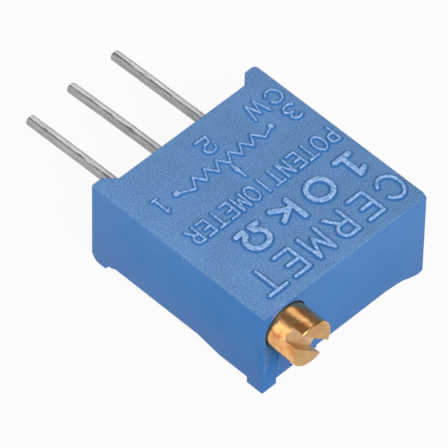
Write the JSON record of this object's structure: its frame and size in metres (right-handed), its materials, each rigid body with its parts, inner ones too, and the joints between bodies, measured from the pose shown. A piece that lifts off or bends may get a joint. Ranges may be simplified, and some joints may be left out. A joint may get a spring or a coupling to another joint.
{
  "type": "trimmer potentiometer",
  "caption": "Square multi-turn trimmer potentiometer with three in-line round pins and a slotted brass adjusting screw at its end.",
  "frame": {"origin": "on the axis of pin 2, in the plane of the board that the two seat feet stand on", "axes": "+X from pin 1 to pin 3, +Y from the screw end along the pins, +Z out of the marked face, so the part lies on its back feet"},
  "size_m": [0.0096, 0.0176, 0.0048],
  "materials": {
    "housing_plastic": "moulded, spark textured on the marked face",
    "seal_epoxy": "cured epoxy",
    "brass": "turned",
    "seal_rubber": "smooth",
    "clip_steel": "stamped",
    "wheel_plastic": "moulded",
    "wiper_metal": "stamped spring alloy",
    "alumina": "fired",
    "cermet": "printed and fired film",
    "silver_film": "printed and fired film",
    "tinned_wire": "tin plated",
    "solder": "reflowed"
  },
  "bodies": {
    "base": {"housing": "housing_plastic", "back_seal": "seal_epoxy", "retainer_clip": "clip_steel", "substrate": "alumina", "resistive_track": "cermet", "collector_track": "silver_film", "end_pad_1": "silver_film", "end_pad_3": "silver_film", "pin_1": "tinned_wire", "pin_2": "tinned_wire", "pin_3": "tinned_wire", "solder_1": "solder", "solder_2": "solder", "solder_3": "solder"},
    "screw": {"adjusting_screw": "brass", "o_ring": "seal_rubber"},
    "rotor": {"worm_wheel": "wheel_plastic", "wiper_contact": "wiper_metal"}
  },
  "joints": [
    {"name": "screw_turn", "type": "hinge", "parent": "base", "child": "screw", "pos_m": [-0.00349, -0.01003, 0.00105], "axis": [0, 1, 0], "range_deg": [-4500, 4500]},
    {"name": "rotor_turn", "type": "hinge", "parent": "base", "child": "rotor", "pos_m": [0.00031, -0.00526, 0.00105], "axis": [0, 0, 1], "range_deg": [-140.62, 140.62]}
  ],
  "couplings": [
    {"joint": "rotor_turn", "follows": "screw_turn", "ratio": 0.03125}
  ]
}
